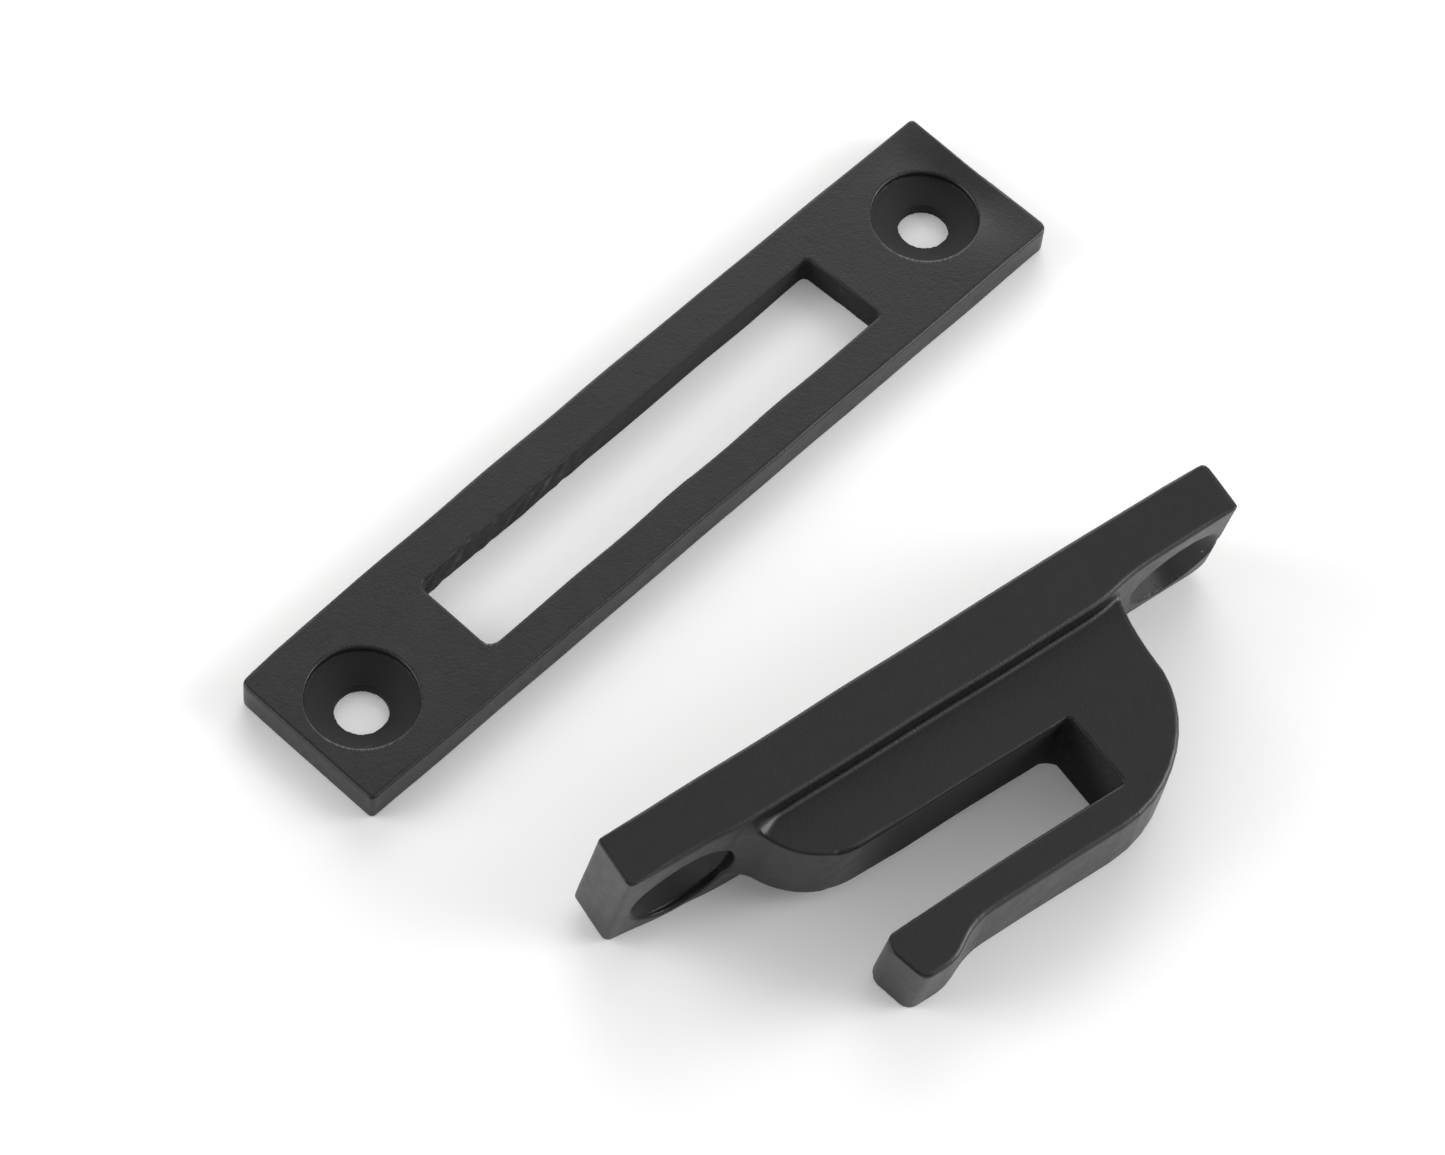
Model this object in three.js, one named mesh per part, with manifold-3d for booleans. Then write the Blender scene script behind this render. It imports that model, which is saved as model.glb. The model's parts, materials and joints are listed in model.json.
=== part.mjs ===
// Keeper set for a casement window fastener: a slotted mortice plate and a hook plate, two loose
// one-piece castings lying side by side. Millimetres, +Z up. The set stands on z = 0, with the middle
// of its footprint at the origin, the hook plate's bar along X and its hook pointing to -Y.

import * as THREE from 'three';
import { mergeVertices } from 'three/addons/utils/BufferGeometryUtils.js';
import Module from 'manifold-3d';

const wasm = await Module();
wasm.setup();

// Driving dimensions.

// Both castings take the same countersunk wood screw: its head sinks to `rim` below the face, and the
// cone narrows to the shank's hole at `depth`.
const COUNTERSINK = { headRadius: 4.25, holeRadius: 2.25, rim: 0.3, depth: 1.7 };

const MORTICE = { length: 73, width: 14.2, thickness: 2.8, softEdge: 0.3 };
const MORTICE_CORNERS = { blunt: 1.1, crisp: 0.5 };
const MORTICE_SLOT = { length: 42.6, width: 7.8, shift: 0.2, corner: 0.6 };
const MORTICE_HOLE_SPACING = 61.6;

// The hook plate is drawn as it is screwed on: x along the bar from its heel end, y out of the wall
// from the bar's back face, z up the wall from the bar's lower edge.
const BAR = { length: 56.2, height: 12, thickness: 4.3, swell: 0.45, softEdge: 0.35 };
const BAR_SWELL = { start: 9, full: 13, fullEnd: 44, end: 49 };
const BAR_CORNERS = { back: 0.4, front: 0.8 };
const BAR_HOLES = [4.7, 50.8];

const HOOK = { underside: 3.3, top: 10, softEdge: 0.35, rootFillet: 0.8 };
const HOOK_ROOT = { heel: 11.2, lobe: 46.4 };
const HOOK_HEEL = { side: 12.2, shoulder: 11.2, finger: 21, sideHandle: 3.9, fingerHandle: 5.7 };
const HOOK_LOBE = { x: 39, y: 3.8, radius: 6.6, endAngle: 0.35 };
const HOOK_FINGER = { face: 19.5 };
const HOOK_SLOT = { end: 20.3, near: 10.5, far: 16.4, corner: 0.8, flareStart: 30, flare: 0.5 };
const HOOK_TIP = { end: 42.2, reach: 21.2, neck: 33, crest: 39.8, corner: 1.2, innerCorner: 0.9 };

// How the loose mortice plate lies behind the hook plate: its middle, from the middle of the hook
// plate's lower back edge, and the angle between the two pieces' lengths, in degrees.
const MORTICE_PLACE = { x: -1.4, y: 26.95, turn: 9.55 };

const CURVE_DIVISIONS = 10;
const ROUND_DIVISIONS = 48;
const OVERCUT = 1;

// Solids.

function solidOf(geometry) {
  const bare = geometry.clone();
  bare.deleteAttribute('normal');
  bare.deleteAttribute('uv');
  const merged = mergeVertices(bare, 1e-4);
  const mesh = new wasm.Mesh({
    numProp: 3,
    vertProperties: Float32Array.from(merged.attributes.position.array),
    triVerts: Uint32Array.from(merged.index.array),
  });
  return new wasm.Manifold(mesh);
}

function geometryOf(solid) {
  const mesh = solid.getMesh();
  const geometry = new THREE.BufferGeometry();
  geometry.setAttribute('position', new THREE.BufferAttribute(mesh.vertProperties, 3));
  geometry.setIndex(new THREE.BufferAttribute(mesh.triVerts, 1));
  geometry.computeVertexNormals();
  return geometry;
}

// A plate of the outline from z = low to z = high, its edges rounded inside the outline.
function softPlate(outline, low, high, softEdge) {
  const geometry = new THREE.ExtrudeGeometry(outline, {
    depth: high - low - 2 * softEdge,
    curveSegments: CURVE_DIVISIONS,
    bevelThickness: softEdge,
    bevelSize: softEdge,
    bevelOffset: -softEdge,
    bevelSegments: 3,
  });
  return geometry.translate(0, 0, low + softEdge);
}

// The tool that cuts a countersunk hole down through a face at z = 0, `through` deep.
function countersinkCutter(through) {
  const { headRadius, holeRadius, rim, depth } = COUNTERSINK;
  const profile = [
    new THREE.Vector2(0, -through),
    new THREE.Vector2(holeRadius, -through),
    new THREE.Vector2(holeRadius, -depth),
    new THREE.Vector2(headRadius, -rim),
    new THREE.Vector2(headRadius, OVERCUT),
    new THREE.Vector2(0, OVERCUT),
  ];
  return new THREE.LatheGeometry(profile, ROUND_DIVISIONS).rotateX(Math.PI / 2);
}

// Mortice plate, its length along x, its back face at z = 0, its middle at the origin.

// A rectangle about the origin; corners lists its corner radii from lower left, anticlockwise.
function roundedRectangle(path, width, height, corners) {
  const right = width / 2;
  const top = height / 2;
  const [lowerLeft, lowerRight, upperRight, upperLeft] = corners;
  path.moveTo(-right + lowerLeft, -top);
  path.absarc(right - lowerRight, -top + lowerRight, lowerRight, -Math.PI / 2, 0);
  path.absarc(right - upperRight, top - upperRight, upperRight, 0, Math.PI / 2);
  path.absarc(-right + upperLeft, top - upperLeft, upperLeft, Math.PI / 2, Math.PI);
  path.absarc(-right + lowerLeft, -top + lowerLeft, lowerLeft, Math.PI, 1.5 * Math.PI);
  return path;
}

function morticePlateGeometry() {
  const { length, width, thickness, softEdge } = MORTICE;
  const { blunt, crisp } = MORTICE_CORNERS;
  const outline = roundedRectangle(new THREE.Shape(), length, width, [crisp, blunt, crisp, blunt]);
  const plate = solidOf(softPlate(outline, 0, thickness, softEdge));

  const { corner, shift } = MORTICE_SLOT;
  const slotCorners = [corner, corner, corner, corner];
  const slot = roundedRectangle(new THREE.Shape(), MORTICE_SLOT.length, MORTICE_SLOT.width, slotCorners);
  const slotCutter = new THREE.ExtrudeGeometry(slot, {
    depth: thickness + 2 * OVERCUT,
    bevelEnabled: false,
    curveSegments: CURVE_DIVISIONS,
  });
  slotCutter.translate(shift, 0, -OVERCUT);

  let solid = plate.subtract(solidOf(slotCutter));
  for (const side of [-1, 1]) {
    const cutter = countersinkCutter(thickness + OVERCUT);
    cutter.translate(side * MORTICE_HOLE_SPACING / 2, 0, thickness);
    solid = solid.subtract(solidOf(cutter));
  }
  return geometryOf(solid);
}

// Hook plate.

// The bar seen from above: straight back, and a front that swells a little where the hook grows.
function barOutline() {
  const { length, thickness, swell } = BAR;
  const { start, full, fullEnd, end } = BAR_SWELL;
  const { back, front } = BAR_CORNERS;
  const swollen = thickness + swell;
  const shape = new THREE.Shape();
  shape.moveTo(back, 0);
  shape.absarc(length - back, back, back, -Math.PI / 2, 0);
  shape.absarc(length - front, thickness - front, front, 0, Math.PI / 2);
  shape.lineTo(end, thickness);
  shape.bezierCurveTo((end + fullEnd) / 2, thickness, (end + fullEnd) / 2, swollen, fullEnd, swollen);
  shape.lineTo(full, swollen);
  shape.bezierCurveTo((start + full) / 2, swollen, (start + full) / 2, thickness, start, thickness);
  shape.absarc(front, thickness - front, front, Math.PI / 2, Math.PI);
  shape.absarc(back, back, back, Math.PI, 1.5 * Math.PI);
  return shape;
}

// The hook seen from above, its root sunk into the bar.
function hookOutline() {
  const { end, near, far, corner, flareStart, flare } = HOOK_SLOT;
  const { side, shoulder, finger, sideHandle, fingerHandle } = HOOK_HEEL;
  const { face } = HOOK_FINGER;
  const lobe = HOOK_LOBE;
  const tip = HOOK_TIP;
  const rootDepth = BAR.thickness / 2;
  const rootFace = BAR.thickness + BAR.swell;
  const heelControl = (rootFace + shoulder) / 2;
  const neckControl = (tip.neck + tip.crest) / 2;
  const lobeEnd = lobe.x + lobe.radius;
  const shape = new THREE.Shape();
  shape.moveTo(HOOK_ROOT.heel, rootDepth);
  shape.lineTo(HOOK_ROOT.heel, rootFace);
  shape.quadraticCurveTo(side, heelControl, side, shoulder);
  shape.bezierCurveTo(side, shoulder + sideHandle, finger - fingerHandle, face, finger, face);
  shape.lineTo(tip.neck, face);
  shape.bezierCurveTo(neckControl, face, neckControl + tip.corner, tip.reach, tip.crest, tip.reach);
  shape.quadraticCurveTo(tip.end, tip.reach, tip.end, tip.reach - tip.corner);
  shape.lineTo(tip.end, far + flare + tip.innerCorner);
  shape.quadraticCurveTo(tip.end, far + flare, tip.end - tip.innerCorner, far + flare);
  shape.quadraticCurveTo((flareStart + tip.end) / 2, far, flareStart, far);
  shape.lineTo(end, far);
  shape.lineTo(end, near + corner);
  shape.quadraticCurveTo(end, near, end + corner, near);
  shape.lineTo(lobe.x, lobe.y + lobe.radius);
  shape.absarc(lobe.x, lobe.y, lobe.radius, Math.PI / 2, lobe.endAngle, true);
  shape.quadraticCurveTo(lobeEnd, rootFace, HOOK_ROOT.lobe, rootFace);
  shape.lineTo(HOOK_ROOT.lobe, rootDepth);
  return shape;
}

// A strip along the bar's face with a hollow, quarter-round front, filling the corner over the hook.
function rootFilletGeometry() {
  const radius = HOOK.rootFillet;
  const profile = new THREE.Shape();
  profile.moveTo(-OVERCUT, -OVERCUT);
  profile.lineTo(radius, -OVERCUT);
  profile.absarc(radius, radius, radius, -Math.PI / 2, -Math.PI, true);
  profile.lineTo(-OVERCUT, radius);
  const length = HOOK_ROOT.lobe - HOOK_ROOT.heel;
  const strip = new THREE.ExtrudeGeometry(profile, {
    depth: length,
    bevelEnabled: false,
    curveSegments: CURVE_DIVISIONS,
  });
  const alongBar = new THREE.Matrix4().makeBasis(
    new THREE.Vector3(0, 1, 0),
    new THREE.Vector3(0, 0, 1),
    new THREE.Vector3(1, 0, 0),
  );
  strip.applyMatrix4(alongBar);
  return strip.translate(HOOK_ROOT.heel, BAR.thickness + BAR.swell, HOOK.top);
}

function hookPlateGeometry() {
  const outline = hookOutline();
  const bar = solidOf(softPlate(barOutline(), 0, BAR.height, BAR.softEdge));
  const hook = solidOf(softPlate(outline, HOOK.underside, HOOK.top, HOOK.softEdge));
  const column = solidOf(softPlate(outline, HOOK.underside, BAR.height, HOOK.softEdge));
  const fillet = solidOf(rootFilletGeometry()).intersect(column);

  let solid = bar.add(hook).add(fillet);
  for (const x of BAR_HOLES) {
    const cutter = countersinkCutter(BAR.thickness + OVERCUT);
    cutter.rotateX(-Math.PI / 2);
    cutter.translate(x, BAR.thickness, BAR.height / 2);
    solid = solid.subtract(solidOf(cutter));
  }
  return geometryOf(solid).translate(-BAR.length / 2, 0, 0);
}

// The assembly.

function boxOf(object) {
  return new THREE.Box3().setFromObject(object, true);
}

function namedMesh(name, geometry) {
  const blackPowderCoat = new THREE.MeshStandardMaterial({
    color: 0x2b2b2c,
    roughness: 0.55,
    metalness: 0,
  });
  const mesh = new THREE.Mesh(geometry, blackPowderCoat);
  mesh.name = name;
  return mesh;
}

// Unfixed, the hook plate tips forward on its lower front edge until the hook's tip meets the ground.
const tipReach = HOOK_TIP.reach - BAR.thickness;
const lean = Math.atan2(HOOK.underside, tipReach);

const morticePlate = namedMesh('mortice_plate', morticePlateGeometry());
morticePlate.position.set(MORTICE_PLACE.x, MORTICE_PLACE.y, 0);
morticePlate.rotation.z = THREE.MathUtils.degToRad(MORTICE_PLACE.turn);

const hookPlate = namedMesh('hook_plate', hookPlateGeometry());
hookPlate.rotation.x = -lean;
const hookPlateStand = new THREE.Group();
hookPlateStand.rotation.z = Math.PI;
hookPlateStand.add(hookPlate);
hookPlateStand.position.z = -boxOf(hookPlateStand).min.z;

const keeperSet = new THREE.Group();
keeperSet.add(morticePlate, hookPlateStand);
const footprintCentre = boxOf(keeperSet).getCenter(new THREE.Vector3());
keeperSet.position.set(-footprintCentre.x, -footprintCentre.y, 0);

export default keeperSet;
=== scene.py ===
"""Keeper set for a casement fastener: a slotted mortice plate and a hook plate, both powder-coated.

Each casting is modelled as a distance field, in millimetres, in its own frame: drafted slabs of an
outline with soft edges, joined with fillets and cut by countersinks. Its surface becomes one fine mesh,
which is set where the CAD model's mounts and boxes say, in metres.
"""

import json
import math

import bpy
import numpy as np
from mathutils import Euler, Matrix, Vector


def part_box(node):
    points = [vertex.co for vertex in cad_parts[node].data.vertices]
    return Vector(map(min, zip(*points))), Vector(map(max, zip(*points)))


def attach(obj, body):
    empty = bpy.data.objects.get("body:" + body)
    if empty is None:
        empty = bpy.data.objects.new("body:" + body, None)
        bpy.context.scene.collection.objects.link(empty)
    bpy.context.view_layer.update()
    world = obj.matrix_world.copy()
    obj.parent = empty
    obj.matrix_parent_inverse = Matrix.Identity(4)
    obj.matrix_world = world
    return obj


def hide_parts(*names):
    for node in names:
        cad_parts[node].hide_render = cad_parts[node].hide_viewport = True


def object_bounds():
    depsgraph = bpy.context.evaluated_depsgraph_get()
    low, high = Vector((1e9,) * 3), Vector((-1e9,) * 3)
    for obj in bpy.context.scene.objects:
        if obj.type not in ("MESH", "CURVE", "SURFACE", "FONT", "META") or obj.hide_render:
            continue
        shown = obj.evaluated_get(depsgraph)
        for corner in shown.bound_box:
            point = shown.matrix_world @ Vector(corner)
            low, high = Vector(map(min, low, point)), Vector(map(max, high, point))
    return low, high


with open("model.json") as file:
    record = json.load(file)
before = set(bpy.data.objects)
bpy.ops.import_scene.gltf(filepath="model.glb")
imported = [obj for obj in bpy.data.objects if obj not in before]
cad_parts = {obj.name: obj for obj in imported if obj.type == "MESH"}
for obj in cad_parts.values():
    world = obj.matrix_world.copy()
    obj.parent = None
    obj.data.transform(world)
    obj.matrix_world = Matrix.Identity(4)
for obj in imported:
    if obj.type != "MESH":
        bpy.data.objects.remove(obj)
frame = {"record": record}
cad_low, cad_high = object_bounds()
record = frame["record"]

MM = 0.001
PITCH = 0.2  # spacing of the surface mesh, in mm
SMOOTHING_ROUNDS = 3
LEAST_SLOPE = 0.2  # of a field, squared, so that a flat spot throws no point far
TOO_SHORT = 1e-9  # an outline's edge of no length

# ---------------------------------------------------------------- sizes, in mm

# Screw holes: the head's radius down to the lip, then a cone to the shank hole's radius at its depth.
# A centre is (along, across) in the casting's own frame. The bar's face is how far its front stands
# out from its back at the hole.
MORTICE_SCREWS = (
    dict(centre=(-30.9, -0.2), head=4.3, hole=2.08, lip=0.5, depth=1.85),
    dict(centre=(30.65, 0.2), head=4.15, hole=2.0, lip=0.5, depth=1.6),
)
BAR_SCREWS = (
    dict(centre=(4.4, 5.35), face=4.2, head=4.1, hole=2.25, lip=0.2, depth=2.0),
    dict(centre=(50.75, 5.3), face=4.65, head=4.35, hole=2.25, lip=0.2, depth=2.2),
)

# Corners are (along, across, size of the rounding), anticlockwise.
MORTICE_CORNERS = ((-36.55, -7.0, 0.5), (36.7, -7.2, 0.8), (36.65, 7.2, 0.5), (-36.5, 7.1, 0.9))
MORTICE_BOW = dict(x=-10, height=0.3)  # the bulge of the upper long edge, its height half-way
MORTICE_EDGE = dict(outside=0.22, cut=0.17)
MORTICE_LUMPS = dict(size=4.0, height=0.035)
SLOT_CORNERS = ((-21.0, -3.75, 1.0), (21.5, -3.72, 0.35), (21.1, 3.85, 0.5), (-21.0, 3.82, 0.9))
SLOT_LUMPS = dict(size=3.0, height=0.025)
ROUGH_WALL = dict(across=(2.5, 3.5), along=(-6.0, 1.0))  # it fades out along the slot's upper wall
ROUGH_WALL_LUMPS = (dict(size=0.45, height=0.035), dict(size=0.8, height=0.03))
DISH = dict(centre=(34.2, 0.6), reach=(2.6, 4.6), depth=0.42, fade=(0.5, 2.0))

# The hook plate as it is screwed on: x along the bar from its heel end, y out of the wall from the
# bar's back, z up the wall. Both outlines are those of the upper face; draft widens them downwards.
# A pair of lengths is where something smoothly begins and where it is complete.
HOOK_PLATE_LUMPS = dict(size=4.0, height=0.025)
BAR = dict(height=12.0, edge_back=0.3, edge_front=0.42, edge_end=0.16, edge_cut=0.2, draft=0.045)
BAR_HEEL_CORNER = dict(radius=1.7, edge=0.5)
BAR_LEAN = dict(out=(0.6, 2.6), begins=(7.5, 13.0), ends=(50.5, 57.0))
BAR_FRONT = (1.5, 3.0)  # from the back's rounding to the front's
BAR_CRISP_LOBE_END = (52.0, 55.9)
BAR_SOFT_PAST_HEEL = (0.1, 3.0)  # the heel end is crisp too
HOOK = dict(underside=3.1, top=10.0, edge=0.42, edge_slot=0.17, draft=0.068)
HOOK_UPRIGHT_TIP = dict(along=(35.0, 40.0), out=(13.0, 15.0))  # no draft there
HOOK_CRISP_SLOT = dict(along=(18.6, 19.4), near=(8.6, 9.4), far=(17.4, 18.1))
HOOK_SOFT_LOBE = dict(along=(34.0, 38.0), out=(13.0, 14.0))
HOOK_CRISP_TIP = (41.0, 41.6)
HOOK_DULL_SLOT = dict(end=(19.9, 20.3), mouth=(34.0, 41.0), near=(10.2, 10.45), far=(16.6, 16.8))
ROOT_FILLET = dict(groove=0.36, lobe=1.6, change=(43, 46))
SLOT_END = dict(x=20.2, y=10.35, slant=0.056, fillet_top=0.4, fillet_growth=0.14, near=3)
SLOT_END_ROUGHNESS = (dict(size=0.5, height=0.05), dict(size=0.8, height=0.03))
SLOT_END_ROUGH_REACH = (1.0, 2.6)

# Soft light panels of the studio: where they hang (heading anticlockwise from +X, and elevation), how
# far they spread from their middle, all in degrees, and how bright their middle is.
PANELS = (
    dict(heading=146, elevation=18, spread=31, strength=4.2),
    dict(heading=-37, elevation=17, spread=27, strength=7.6),
    dict(heading=143.5, elevation=45, spread=45.5, strength=0.55),
    dict(heading=-36.5, elevation=45, spread=45.5, strength=0.8),
    dict(heading=48.6, elevation=20, spread=37, strength=3.3),
    dict(heading=48.6, elevation=50, spread=45.5, strength=0.52),
    dict(heading=-131.4, elevation=70, spread=41.5, strength=0.2),
    dict(heading=-131.4, elevation=25, spread=37, strength=0.35),
)

# The camera's place round the set in degrees, its roll, its distance and aim in metres (the aim is from
# the set's middle), and its lens and sensor in mm.
CAMERA = dict(
    azimuth=-41.39,
    elevation=58.48,
    roll=5.71,
    distance=0.57735,
    aim=(-0.00112, 0.00741),
    lens=190.74,
    sensor=36,
)

# Linear colours of the powder coat.
COAT_COLOURS = dict(
    dark=(0.0035, 0.0035, 0.0036, 1),
    light=(0.0045, 0.0045, 0.0045, 1),
    thin_edge=(0.012, 0.012, 0.012, 1),
    dust=(0.5, 0.5, 0.48, 1),
)
RECESS_ROUGHNESS = 0.8
FLOOR_COLOUR = (0.95, 0.95, 0.945, 1)
FLOOR_GLOW = 0.12
WHITE = (1, 1, 1, 1)

GOLDEN_ANGLE = math.pi * (3 - math.sqrt(5))


# ---------------------------------------------------------------- outlines


def arc(centre, radius, start, end, steps=10):
    """Points of a circular arc between two angles, in degrees."""
    angles = np.radians(np.linspace(start, end, steps + 1))
    return [(centre[0] + radius * math.cos(a), centre[1] + radius * math.sin(a)) for a in angles]


def bezier(*controls, steps=10):
    """Points of a Bezier curve through its first and last control."""
    points = []
    for t in np.linspace(0, 1, steps + 1):
        level = np.array(controls, float)
        while len(level) > 1:
            level = level[:-1] * (1 - t) + level[1:] * t
        points.append(tuple(level[0]))
    return points


def rounded(corners):
    """A closed outline through the corners (x, y, size), each rounded off by its size."""
    points = []
    for i, (x, y, size) in enumerate(corners):
        corner = Vector((x, y))
        before = Vector(corners[i - 1][:2]) - corner
        after = Vector(corners[(i + 1) % len(corners)][:2]) - corner
        start = corner + before.normalized() * size
        end = corner + after.normalized() * size
        points += bezier(start, corner, end, steps=6)
    return points


def bar_outline():
    """The bar seen along the wall: its flat back, its two ends and its front, thicker in the middle."""
    length = (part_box("hook_plate")[1].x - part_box("hook_plate")[0].x) / MM
    heel, middle, lobe_start, lobe_end = 4.14, 4.88, 4.6, 4.38
    return (
        bezier((-0.15, 0.9), (-0.1, -0.1), (0.8, -0.15), steps=6)
        + bezier((4, -0.26), (16, -0.42), (30, -0.08), (length - 0.3, 0))
        + bezier((length - 0.3, 0), (length + 0.1, 0), (length + 0.15, 0.4), steps=4)
        + bezier(
            (length + 0.22, lobe_end - 0.6),
            (length + 0.22, lobe_end),
            (length - 0.4, lobe_end),
            steps=6,
        )
        + bezier((50.5, lobe_start - 0.05), (48.5, lobe_start), (48.5, middle), (44.5, middle))
        + bezier((15.5, middle), (11.5, middle), (12.0, heel), (7.5, heel))
        + bezier((-0.05, heel), (-0.5, heel), (-0.47, heel - 0.4), steps=6)
    )


def hook_outline():
    """The hook seen along the wall: heel, finger, tip, the slot's walls and the lobe."""
    heel, face, reach = 11.95, 19.52, 21.25
    slot_end, slot_near, slot_far = SLOT_END["x"], SLOT_END["y"], 16.72
    lobe, lobe_radius = (39.0, 3.85), 6.45
    return (
        [(11.2, 2.2), (11.2, 4.7)]
        + bezier((11.2, 4.7), (12.0, 6.6), (heel, 11.2))
        + bezier((heel, 11.2), (12.35, 15.1), (16.1, face), (21.9, face))
        + bezier((33.8, face), (37.0, face), (37.2, reach), (39.6, reach))
        + bezier((40.7, reach), (41.5, reach), (41.75, 20.3), steps=6)
        + bezier((42.25, 18.3), (42.3, 17.4), (41.5, 16.95), steps=6)
        + bezier((41.5, 16.95), (36, slot_far), (30, slot_far))
        + bezier(
            (slot_end - 0.1, slot_far),
            (slot_end - 0.35, slot_far),
            (slot_end - 0.35, slot_far - 0.25),
            steps=3,
        )
        + [(slot_end, slot_near + 0.3), (slot_end + 0.3, slot_near)]
        + arc(lobe, lobe_radius, 90, 12, steps=16)
        + [(45.4, 2.2)]
    )


def mortice_outline():
    """The plate's four corners, its upper long edge bulging between them."""
    (right, upper_edge, _), (left, _, _) = MORTICE_CORNERS[2:]
    outline = rounded(MORTICE_CORNERS)
    control = (MORTICE_BOW["x"], 2 * MORTICE_BOW["height"])
    bulge = bezier((right, 0), control, (left, 0), steps=14)[1:-1]
    after_upper_right = len(outline) * 3 // 4
    upper = [(x, upper_edge + bow) for x, bow in bulge]
    return outline[:after_upper_right] + upper + outline[after_upper_right:]


BAR_OUTLINE = bar_outline()
HOOK_OUTLINE = hook_outline()
MORTICE_OUTLINE = mortice_outline()
SLOT_OUTLINE = rounded(SLOT_CORNERS)


# ---------------------------------------------------------------- distance fields


def outline_distance(x, y, outline):
    """Signed distance in the plane to a closed outline, negative inside."""
    x, y = np.broadcast_arrays(x, y)
    nearest = np.full(x.shape, np.inf)
    inside = np.zeros(x.shape, bool)
    for (ax, ay), (bx, by) in zip(outline, outline[1:] + outline[:1]):
        ex, ey = bx - ax, by - ay
        if math.hypot(ex, ey) < TOO_SHORT:
            continue
        along = np.clip(((x - ax) * ex + (y - ay) * ey) / (ex * ex + ey * ey), 0, 1)
        nearest = np.minimum(nearest, (x - ax - along * ex) ** 2 + (y - ay - along * ey) ** 2)
        if ey:
            inside ^= ((ay > y) != (by > y)) & (x < ax + (y - ay) * ex / ey)
    return np.where(inside, -1, 1) * np.sqrt(nearest)


def smooth_step(value, low, high):
    """From 0 at low to 1 at high, level at both."""
    t = np.clip((value - low) / (high - low), 0, 1)
    return t * t * (3 - 2 * t)


def slab(flat, z, low, high, edge):
    """A slab from z = low to high whose plan has the distance flat, with round edges."""
    side = flat + edge
    over = np.abs(z - (low + high) / 2) - (high - low) / 2 + edge
    outside = np.hypot(np.maximum(side, 0), np.maximum(over, 0))
    return outside + np.minimum(np.maximum(side, over), 0) - edge


def join(a, b, fillet):
    """Both solids, with a fillet of that radius in the corner between them."""
    within = np.hypot(np.maximum(fillet - a, 0), np.maximum(fillet - b, 0))
    return np.maximum(fillet, np.minimum(a, b)) - within


def cut(a, b, edge):
    """Solid a without b, with the new edge rounded."""
    within = np.hypot(np.maximum(edge + a, 0), np.maximum(edge - b, 0))
    return np.minimum(-edge, np.maximum(a, -b)) + within


def countersink(radial, depth, screw):
    """The space of a countersunk hole, from the distance to its axis and the depth below the face."""
    slope = (screw["head"] - screw["hole"]) / (screw["depth"] - screw["lip"])
    wall = np.interp(depth, (screw["lip"], screw["depth"]), (screw["head"], screw["hole"]))
    on_cone = (depth > screw["lip"]) & (depth < screw["depth"])
    return (radial - wall) * np.where(on_cone, 1 / math.hypot(1, slope), 1)


def lumps(x, y, z, size, height, count=7, longer=0.09, phase=1.7):
    """The smooth unevenness of a casting, in lumps about one size across.

    It is a sum of waves in directions all round, each a little longer than the one before it.
    """
    total = 0
    for i in range(count):
        tilt = 1 - (2 * i + 1) / count
        flat = math.sqrt(1 - tilt**2)
        turn = GOLDEN_ANGLE * i
        along = flat * math.cos(turn) * x + flat * math.sin(turn) * y + tilt * z
        total = total + np.sin(math.tau * along / (2 * size * (1 + longer * i)) + phase * i)
    return height * total / math.sqrt(count)


def mortice_field(x, y, z):
    """The mortice plate: a shallow dish, a slot with one uneven wall, and two screw holes."""
    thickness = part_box("mortice_plate")[1].z / MM
    plan = outline_distance(x, y, MORTICE_OUTLINE) + lumps(x, y, z, **MORTICE_LUMPS)
    (dish_x, dish_y), (reach_x, reach_y) = DISH["centre"], DISH["reach"]
    dish = DISH["depth"] * np.exp(-(((x - dish_x) / reach_x) ** 2) - ((y - dish_y) / reach_y) ** 2)
    raised = z + dish * smooth_step(z, *DISH["fade"])
    solid = slab(plan, raised, 0, thickness, MORTICE_EDGE["outside"])
    rough_wall = smooth_step(y, *ROUGH_WALL["across"]) * (1 - smooth_step(x, *ROUGH_WALL["along"]))
    slot = outline_distance(x, y, SLOT_OUTLINE) + lumps(x, y, z, **SLOT_LUMPS)
    fine, coarse = ROUGH_WALL_LUMPS
    slot = slot + rough_wall * (lumps(x, y, z, **fine) + lumps(z, x, y, **coarse))
    solid = cut(solid, slot, MORTICE_EDGE["cut"])
    for screw in MORTICE_SCREWS:
        radial = np.hypot(x - screw["centre"][0], y - screw["centre"][1])
        solid = cut(solid, countersink(radial, thickness - raised, screw), MORTICE_EDGE["cut"])
    return solid


def mortice_recess(x, y, z):
    """How much each point lies in the slot or a countersink, from 0 to 1."""
    past_slot, past_head = (0.02, 0.14), (-0.1, 0.08)
    recess = 1 - smooth_step(outline_distance(x, y, SLOT_OUTLINE), *past_slot)
    for screw in MORTICE_SCREWS:
        radial = np.hypot(x - screw["centre"][0], y - screw["centre"][1])
        full, none = screw["head"] + past_head[0], screw["head"] + past_head[1]
        recess = np.maximum(recess, 1 - smooth_step(radial, full, none))
    return recess


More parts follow.
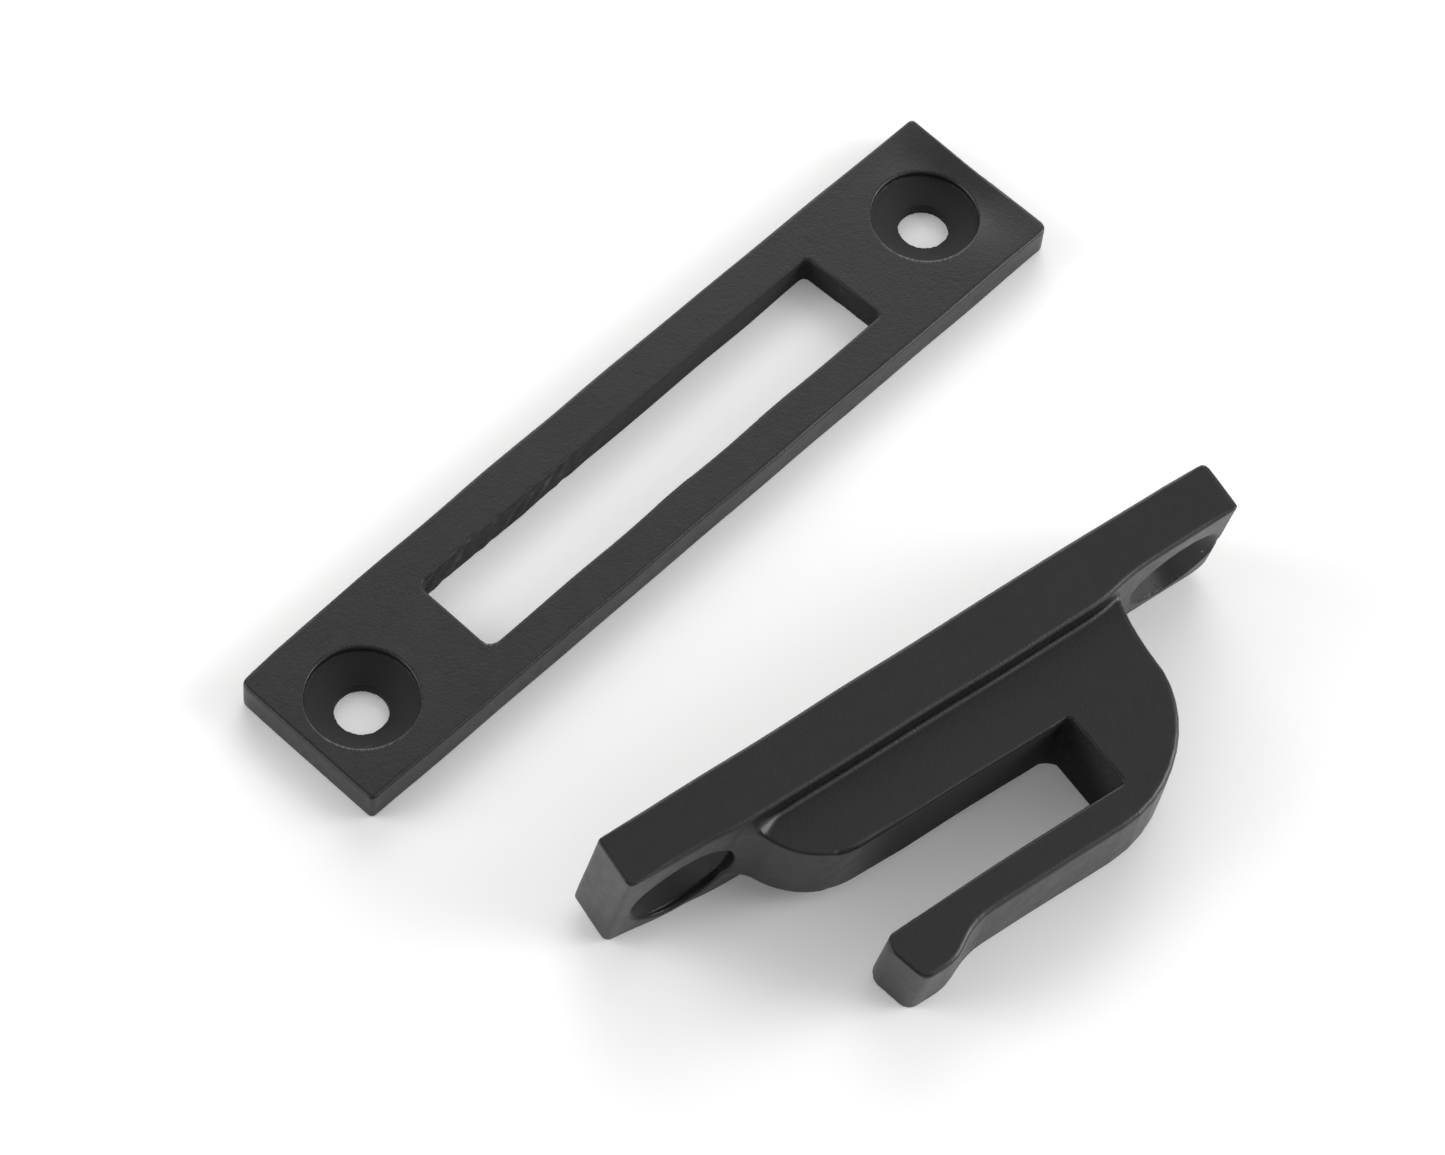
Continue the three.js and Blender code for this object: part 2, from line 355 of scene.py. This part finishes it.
def bar_field(x, y, z):
    """The bar, its front face leaning out a little except at its two ends."""
    lean = smooth_step(y, *BAR_LEAN["out"]) * smooth_step(x, *BAR_LEAN["begins"])
    lean = lean * (1 - smooth_step(x, *BAR_LEAN["ends"]))
    plan = outline_distance(x, y, BAR_OUTLINE) - BAR["draft"] * (BAR["height"] - z) * lean
    plan = plan + lumps(x, y, z, **HOOK_PLATE_LUMPS)
    edge = BAR["edge_back"] + (BAR["edge_front"] - BAR["edge_back"]) * smooth_step(y, *BAR_FRONT)
    at_end = np.maximum(smooth_step(x, *BAR_CRISP_LOBE_END), 1 - smooth_step(x, *BAR_SOFT_PAST_HEEL))
    edge = edge + (BAR["edge_end"] - edge) * at_end
    bar = slab(plan, z, 0, BAR["height"], edge)
    corner = BAR_HEEL_CORNER["radius"]
    beyond_corner = np.hypot(np.minimum(x - corner, 0), np.minimum(z - corner, 0)) - corner
    return cut(bar, -beyond_corner, BAR_HEEL_CORNER["edge"])


def hook_only_field(x, y, z):
    """The hook: crisp edges round its slot and at the tip's end, softer ones outside."""
    upright = smooth_step(x, *HOOK_UPRIGHT_TIP["along"]) * smooth_step(y, *HOOK_UPRIGHT_TIP["out"])
    widening = HOOK["draft"] * (HOOK["top"] - z) * (1 - upright)
    plan = outline_distance(x, y, HOOK_OUTLINE) - widening + lumps(x, y, z, **HOOK_PLATE_LUMPS)
    beside_slot = smooth_step(x, *HOOK_CRISP_SLOT["along"]) * smooth_step(y, *HOOK_CRISP_SLOT["near"])
    beside_slot = beside_slot * (1 - smooth_step(y, *HOOK_CRISP_SLOT["far"]))
    on_lobe = smooth_step(x, *HOOK_SOFT_LOBE["along"]) * (1 - smooth_step(y, *HOOK_SOFT_LOBE["out"]))
    crisp = np.maximum(beside_slot * (1 - on_lobe), smooth_step(x, *HOOK_CRISP_TIP))
    edge = HOOK["edge"] + (HOOK["edge_slot"] - HOOK["edge"]) * crisp
    hook = slab(plan, z, HOOK["underside"], HOOK["top"], edge)
    from_end = x - SLOT_END["x"] + SLOT_END["slant"] * (y - SLOT_END["y"]) - widening
    from_near = y - SLOT_END["y"] - widening
    fillet = SLOT_END["fillet_top"] + SLOT_END["fillet_growth"] * (HOOK["top"] - z)
    fine, coarse = SLOT_END_ROUGHNESS
    rough = lumps(x, y, 0.25 * z, **fine) + lumps(y, x, z, **coarse)
    in_corner = 1 - smooth_step(np.maximum(from_end, from_near), *SLOT_END_ROUGH_REACH)
    corner = join(from_end, from_near, fillet) + lumps(x, y, z, **HOOK_PLATE_LUMPS)
    corner = corner + rough * in_corner
    filled = np.minimum(hook, slab(corner, z, HOOK["underside"], HOOK["top"], edge))
    near = (np.abs(from_end) < SLOT_END["near"]) & (np.abs(from_near) < SLOT_END["near"])
    return np.where(near, filled, hook)


def hook_recess(x, y, z):
    """How much each point lies in the hook's slot, from 0 to 1."""
    slot = HOOK_DULL_SLOT
    along = smooth_step(x, *slot["end"]) * (1 - smooth_step(x, *slot["mouth"]))
    across = smooth_step(y, *slot["near"]) * (1 - smooth_step(y, *slot["far"]))
    return along * across * (1 - smooth_step(z, HOOK["top"] - 0.2, HOOK["top"] - 0.05))


def hook_field(x, y, z):
    """The hook plate: bar and hook in one, with two screw holes."""
    groove, lobe = ROOT_FILLET["groove"], ROOT_FILLET["lobe"]
    fillet = groove + (lobe - groove) * smooth_step(x, *ROOT_FILLET["change"])
    solid = join(bar_field(x, y, z), hook_only_field(x, y, z), fillet)
    for screw in BAR_SCREWS:
        x_centre, z_centre = screw["centre"]
        radial = np.hypot(x - x_centre, z - z_centre)
        solid = cut(solid, countersink(radial, screw["face"] - y, screw), BAR["edge_cut"])
    return solid


# ---------------------------------------------------------------- surface meshes


def quads_across(inside, cell, axis):
    """The faces that cross one axis: a quad round every grid edge whose two ends differ."""
    ends = np.moveaxis(inside, axis, 0)
    cells = np.moveaxis(cell, axis, 0)
    i, j, k = np.nonzero(ends[1:, 1:-1, 1:-1] != ends[:-1, 1:-1, 1:-1])
    round_edge = (cells[i, j, k], cells[i, j + 1, k], cells[i, j + 1, k + 1], cells[i, j, k + 1])
    quads = np.stack(round_edge, axis=1)
    turned = ends[i, j + 1, k + 1] == (axis == 1)
    quads[turned] = quads[turned, ::-1]
    return quads


def gradient(field, points, step=0.04):
    """The field's slope at each point."""
    slope = np.empty_like(points)
    for axis in range(3):
        shift = np.zeros(3)
        shift[axis] = step
        slope[:, axis] = (field(*(points + shift).T) - field(*(points - shift).T)) / (2 * step)
    return slope


def settle(field, points):
    """The points, moved along the slope onto the surface."""
    slope = gradient(field, points)
    steepness = np.maximum((slope**2).sum(1), LEAST_SLOPE)
    return points - (field(*points.T) / steepness)[:, None] * slope


def spread(points, quads):
    """The points, each moved half-way to the middle of its neighbours."""
    total = np.zeros_like(points)
    count = np.zeros(len(points))
    for a, b in ((0, 1), (1, 2), (2, 3), (3, 0)):
        for near, far in ((a, b), (b, a)):
            for axis in range(3):
                total[:, axis] += np.bincount(quads[:, near], points[quads[:, far], axis], len(points))
            count += np.bincount(quads[:, near], minlength=len(points))
    return (points + total / count[:, None]) / 2


def skin(field, low, high):
    """Points, outward normals and quads of the surface where the field is zero."""
    axes = [np.arange(start, stop, PITCH) for start, stop in zip(low, high)]
    inside = field(axes[0][:, None, None], axes[1][None, :, None], axes[2][None, None, :]) < 0
    corners = inside.astype(int)
    for axis in range(3):
        ends = np.moveaxis(corners, axis, 0)
        corners = np.moveaxis(ends[1:] + ends[:-1], 0, axis)
    crossed = (corners > 0) & (corners < 8)
    cell = np.full(crossed.shape, -1)
    cell[crossed] = np.arange(crossed.sum())
    quads = np.concatenate([quads_across(inside, cell, axis) for axis in range(3)])
    points = np.argwhere(crossed) * PITCH + np.array(low) + PITCH / 2
    for _ in range(SMOOTHING_ROUNDS):
        points = settle(field, spread(points, quads))
    points = settle(field, points)
    normals = gradient(field, points)
    return points, normals / np.linalg.norm(normals, axis=1)[:, None], quads


def casting(name, field, recess, low, high, place):
    """One casting as a fine quad mesh, set in the row frame by its placement matrix."""
    points, normals, quads = skin(field, low, high)
    place = np.array(place)
    mesh = bpy.data.meshes.new(name)
    mesh.from_pydata(points * MM @ place[:3, :3].T + place[:3, 3], [], quads.tolist())
    mesh.shade_smooth()
    mesh.normals_split_custom_set_from_vertices(normals @ place[:3, :3].T)
    mesh.attributes.new("recess", "FLOAT", "POINT").data.foreach_set("value", recess(*points.T))
    piece = bpy.data.objects.new(name, mesh)
    bpy.context.scene.collection.objects.link(piece)
    return piece


# ---------------------------------------------------------------- places


def opening_centre(name):
    """The middle of one of the record's openings."""
    box = next(o["box_m"] for o in record["physics"]["openings"] if o["name"] == name)
    return (Vector(box[0]) + Vector(box[1])) / 2


def mortice_place():
    """The plate's middle, with its length along the line of its slot."""
    low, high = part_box("mortice_plate")
    along = opening_centre("mortice_slot_right") - opening_centre("mortice_slot_left")
    middle = Vector(((low.x + high.x) / 2, (low.y + high.y) / 2, low.z))
    return Matrix.Translation(middle) @ Matrix.Rotation(math.atan2(along.y, along.x), 4, "Z")


def hook_place():
    """The bar's own frame, from the mount at the middle of its back face and that face's normal."""
    mount = next(m for m in record["mounts"] if m["name"] == "hook_plate_back")
    out_of_wall = -Vector(mount["axis"]).normalized()
    along = Vector((-1, 0, 0))
    turn = Matrix((along, out_of_wall, along.cross(out_of_wall))).transposed().to_4x4()
    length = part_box("hook_plate")[1].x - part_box("hook_plate")[0].x
    to_back = Vector((length / 2, 0, BAR["height"] * MM / 2))
    return Matrix.Translation(Vector(mount["pos_m"])) @ turn @ Matrix.Translation(-to_back)


# ---------------------------------------------------------------- material


def node(tree, kind, **inputs):
    """A shader node with the given input values; a socket is linked, anything else is a value."""
    made = tree.nodes.new(kind)
    for key, value in inputs.items():
        socket = made.inputs[key.replace("_", " ")]
        if isinstance(value, bpy.types.NodeSocket):
            tree.links.new(value, socket)
        else:
            socket.default_value = value
    return made


def ramp(tree, factor, low, high, low_value=0.0, high_value=1.0):
    """A smooth change from low_value to high_value as the factor goes from low to high."""
    made = tree.nodes.new("ShaderNodeMapRange")
    made.interpolation_type = "SMOOTHSTEP"
    tree.links.new(factor, made.inputs["Value"])
    for socket, value in zip(made.inputs[1:5], (low, high, low_value, high_value)):
        socket.default_value = value
    return made.outputs["Result"]


def mixed(tree, factor, first, second):
    """A colour that goes from the first to the second, each a socket or a value, with the factor."""
    made = tree.nodes.new("ShaderNodeMix")
    made.data_type = "RGBA"
    tree.links.new(factor, made.inputs["Factor"])
    colours = [socket for socket in made.inputs if socket.type == "RGBA"]
    for socket, colour in zip(colours, (first, second)):
        if isinstance(colour, bpy.types.NodeSocket):
            tree.links.new(colour, socket)
        else:
            socket.default_value = colour
    return next(socket for socket in made.outputs if socket.type == "RGBA")


def combined(tree, operation, first, second):
    """The sum or product of two sockets."""
    made = tree.nodes.new("ShaderNodeMath")
    made.operation = operation
    tree.links.new(first, made.inputs[0])
    tree.links.new(second, made.inputs[1])
    return made.outputs[0]


def powder_coat():
    """Satin black powder coat: fine tooth, faint peel, thin edges, a little dust, dull recesses."""
    material = bpy.data.materials.new("black_powder_coat")
    material.use_nodes = True
    tree = material.node_tree
    shader = tree.nodes["Principled BSDF"]
    place = tree.nodes.new("ShaderNodeTexCoord").outputs["Object"]
    tooth = node(tree, "ShaderNodeTexNoise", Vector=place, Scale=5200.0, Detail=3.0, Roughness=0.6)
    grain = node(tree, "ShaderNodeTexNoise", Vector=place, Scale=2400.0, Detail=2.0, Roughness=0.55)
    peel = node(tree, "ShaderNodeTexNoise", Vector=place, Scale=900.0, Detail=2.0, Roughness=0.5)
    cloud = node(tree, "ShaderNodeTexNoise", Vector=place, Scale=120.0, Detail=3.0, Roughness=0.55)
    grit = node(tree, "ShaderNodeTexVoronoi", Vector=place, Scale=420.0)
    dust = ramp(tree, grit.outputs["Distance"], 0.035, 0.075, 1.0, 0.0)
    draw = node(tree, "ShaderNodeSeparateColor", Color=grit.outputs["Color"]).outputs["Red"]
    rare = ramp(tree, draw, 0.95, 0.955)
    speck = combined(tree, "MULTIPLY", dust, rare)
    edge = ramp(tree, tree.nodes.new("ShaderNodeNewGeometry").outputs["Pointiness"], 0.53, 0.62)
    patchy = ramp(tree, cloud.outputs["Fac"], 0.3, 0.7)
    coat = mixed(tree, patchy, COAT_COLOURS["dark"], COAT_COLOURS["light"])
    worn = mixed(tree, edge, coat, COAT_COLOURS["thin_edge"])
    dusty = mixed(tree, speck, worn, COAT_COLOURS["dust"])
    tree.links.new(dusty, shader.inputs["Base Color"])
    recess = tree.nodes.new("ShaderNodeAttribute")
    recess.attribute_name = "recess"
    satin = ramp(tree, peel.outputs["Fac"], 0.2, 0.8, 0.34, 0.42)
    in_recess = recess.outputs["Fac"]
    roughness = node(tree, "ShaderNodeMix", Factor=in_recess, A=satin, B=RECESS_ROUGHNESS)
    tree.links.new(roughness.outputs["Result"], shader.inputs["Roughness"])
    layers = ((tooth, 0.4, 0.00004), (grain, 0.2, 0.00004), (peel, 0.12, 0.00005))
    normal = None
    for relief, strength, distance in layers:
        bump = node(
            tree,
            "ShaderNodeBump",
            Height=relief.outputs["Fac"],
            Strength=strength,
            Distance=distance,
        )
        if normal is not None:
            tree.links.new(normal, bump.inputs["Normal"])
        normal = bump.outputs["Normal"]
    tree.links.new(normal, shader.inputs["Normal"])
    shader.inputs["IOR"].default_value = 1.5
    return material


# ---------------------------------------------------------------- the two castings

COAT = powder_coat()

mortice_plate = casting(
    "mortice_plate_casting",
    mortice_field,
    mortice_recess,
    low=(-37.3, -7.9, -0.7),
    high=(37.5, 8.1, 3.7),
    place=mortice_place(),
)
hook_plate = casting(
    "hook_plate_casting",
    hook_field,
    hook_recess,
    low=(-1.5, -0.9, -0.9),
    high=(57.9, 22.7, 12.9),
    place=hook_place(),
)
for piece, cad_node in ((mortice_plate, "mortice_plate"), (hook_plate, "hook_plate")):
    piece.data.materials.append(COAT)
    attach(piece, cad_node)
    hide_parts(cad_node)


# ---------------------------------------------------------------- stage, in metres


def white_floor():
    """A large matt white light table at the set's foot, glowing a little."""
    side = 3.0
    mesh = bpy.data.meshes.new("floor")
    corners = [(-side, -side, 0), (side, -side, 0), (side, side, 0), (-side, side, 0)]
    mesh.from_pydata(corners, [], [(0, 1, 2, 3)])
    material = bpy.data.materials.new("floor_white")
    material.use_nodes = True
    shader = material.node_tree.nodes["Principled BSDF"]
    shader.inputs["Base Color"].default_value = FLOOR_COLOUR
    shader.inputs["Roughness"].default_value = 0.8
    shader.inputs["Specular IOR Level"].default_value = 0.1
    shader.inputs["Emission Color"].default_value = WHITE
    shader.inputs["Emission Strength"].default_value = FLOOR_GLOW
    mesh.materials.append(material)
    floor = bpy.data.objects.new("floor", mesh)
    floor.location.z = cad_low.z
    bpy.context.scene.collection.objects.link(floor)


def studio_light():
    """Soft panels round and above the set, all of them painted in the world's light, with no lamps."""
    world = bpy.data.worlds.new("studio")
    bpy.context.scene.world = world
    world.use_nodes = True
    tree = world.node_tree
    direction = tree.nodes.new("ShaderNodeTexCoord").outputs["Generated"]
    total = None
    for panel in PANELS:
        heading, elevation = math.radians(panel["heading"]), math.radians(panel["elevation"])
        level = math.cos(elevation)
        towards = node(tree, "ShaderNodeVectorMath", Vector=direction)
        towards.operation = "DOT_PRODUCT"
        towards.inputs[1].default_value = (
            level * math.cos(heading),
            level * math.sin(heading),
            math.sin(elevation),
        )
        rim = math.cos(math.radians(panel["spread"]))
        glow = ramp(tree, towards.outputs["Value"], rim, 1.0, 0.0, panel["strength"])
        total = glow if total is None else combined(tree, "ADD", total, glow)
    tree.links.new(total, tree.nodes["Background"].inputs["Strength"])
    tree.nodes["Background"].inputs["Color"].default_value = WHITE


def camera():
    """A long lens looking down over the hook plate's lobe end, slightly rolled."""
    azimuth, elevation = math.radians(CAMERA["azimuth"]), math.radians(CAMERA["elevation"])
    roll = math.radians(CAMERA["roll"])
    middle = (cad_low + cad_high) / 2
    aim_x, aim_y = CAMERA["aim"]
    target = Vector((middle.x + aim_x, middle.y + aim_y, cad_low.z))
    back = Vector((
        math.sin(azimuth) * math.cos(elevation),
        -math.cos(azimuth) * math.cos(elevation),
        math.sin(elevation),
    ))
    data = bpy.data.cameras.new("camera")
    data.sensor_width = CAMERA["sensor"]
    data.lens = CAMERA["lens"]
    data.clip_start = 0.01
    eye = bpy.data.objects.new("camera", data)
    eye.location = target + back * CAMERA["distance"]
    level = (-back).to_track_quat("-Z", "Y").to_matrix()
    eye.rotation_euler = (level @ Euler((0, 0, roll)).to_matrix()).to_euler()
    bpy.context.scene.collection.objects.link(eye)
    bpy.context.scene.camera = eye


white_floor()
studio_light()
camera()
bpy.context.scene.view_settings.view_transform = "Standard"
